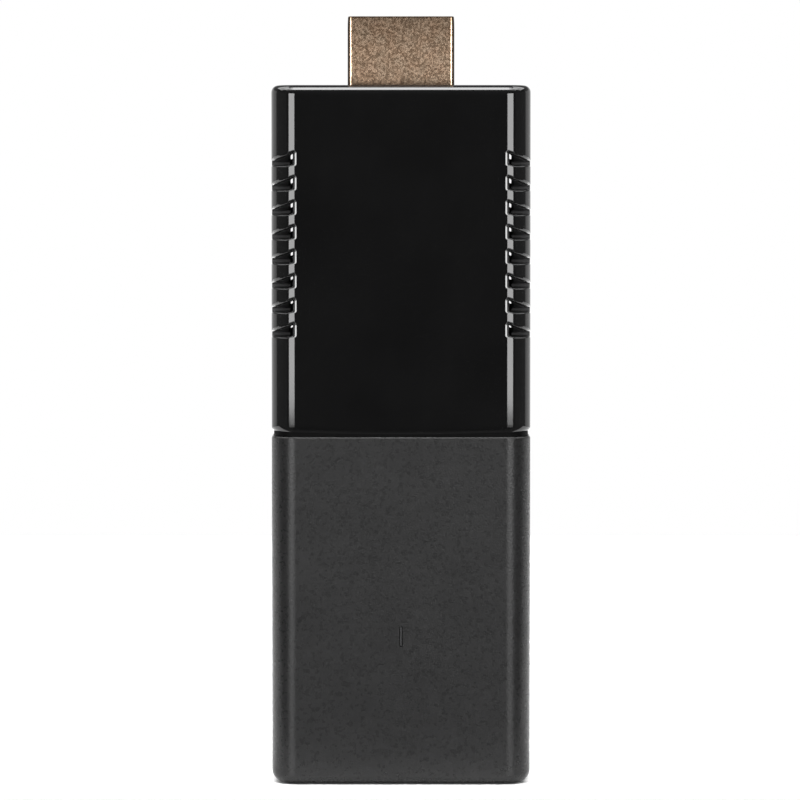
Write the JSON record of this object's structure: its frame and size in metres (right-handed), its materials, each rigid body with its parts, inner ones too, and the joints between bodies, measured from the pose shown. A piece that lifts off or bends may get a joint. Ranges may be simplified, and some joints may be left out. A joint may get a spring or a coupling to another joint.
{
  "type": "streaming media player",
  "caption": "Stick-shaped media player with an HDMI plug, a vented gloss upper housing, a matte tail sleeve, a light window and a micro-USB power inlet.",
  "frame": {"origin": "on the HDMI plug's centre line, at the end face of the housing that the plug leaves", "axes": "+Z along the plug, the way it is pushed into a socket; -Y out of the front face; X across the width"},
  "size_m": [0.0338, 0.0136, 0.0999],
  "materials": {
    "gloss_black": "piano black, polished, with fine handling scratches",
    "matte_grey": "fine spark-eroded texture",
    "light_guide": "smoked clear, moulded",
    "label_film": "printed polyester film, left blank",
    "plug_plating": "satin nickel-gold plating with fine grain",
    "contact_gold": "gold flash",
    "connector_black": "glass-filled nylon",
    "tin_shell": "tin plated",
    "board_green": "solder mask over glass epoxy",
    "chip_black": "moulded epoxy",
    "module_can": "nickel silver can",
    "ferrite_grey": "pressed ferrite",
    "ceramic_tan": "fired ceramic with tinned ends",
    "led_white": "diffusing resin",
    "thermal_pad_grey": "soft silicone pad",
    "spreader_aluminium": "rolled, bead blasted",
    "plunger_white": "acetal",
    "screw_steel": "zinc plated"
  },
  "bodies": {
    "housing": {"front_cover": "gloss_black", "rear_cover": "gloss_black", "tail_sleeve": "matte_grey", "led_light_pipe": "light_guide", "rating_label": "label_film", "hdmi_plug_shell": "plug_plating", "hdmi_insulator": "connector_black", "hdmi_contacts": "contact_gold", "usb_receptacle_shell": "tin_shell", "usb_receptacle_tongue": "connector_black", "usb_receptacle_contacts": "contact_gold", "main_pcb": "board_green", "system_processor": "chip_black", "memory_chips": "chip_black", "flash_storage_chip": "chip_black", "wifi_module": "module_can", "wifi_antenna": "tin_shell", "power_regulator": "chip_black", "power_inductors": "ferrite_grey", "crystal_oscillator": "module_can", "esd_filters": "chip_black", "ceramic_capacitors": "ceramic_tan", "status_led": "led_white", "shield_frame": "tin_shell", "shield_lid": "tin_shell", "processor_thermal_pad": "thermal_pad_grey", "spreader_thermal_pad": "thermal_pad_grey", "front_heat_spreader": "spreader_aluminium", "storage_thermal_pad": "thermal_pad_grey", "rear_heat_spreader": "spreader_aluminium", "reset_switch_body": "connector_black", "pcb_screws": "screw_steel"},
    "reset_plunger": {"reset_switch_plunger": "plunger_white"}
  },
  "joints": [
    {"name": "reset_press", "type": "slide", "parent": "housing", "child": "reset_plunger", "axis": [0, 0, 1], "range_m": [0, 0.00025], "stiffness_N_per_m": 3000}
  ]
}
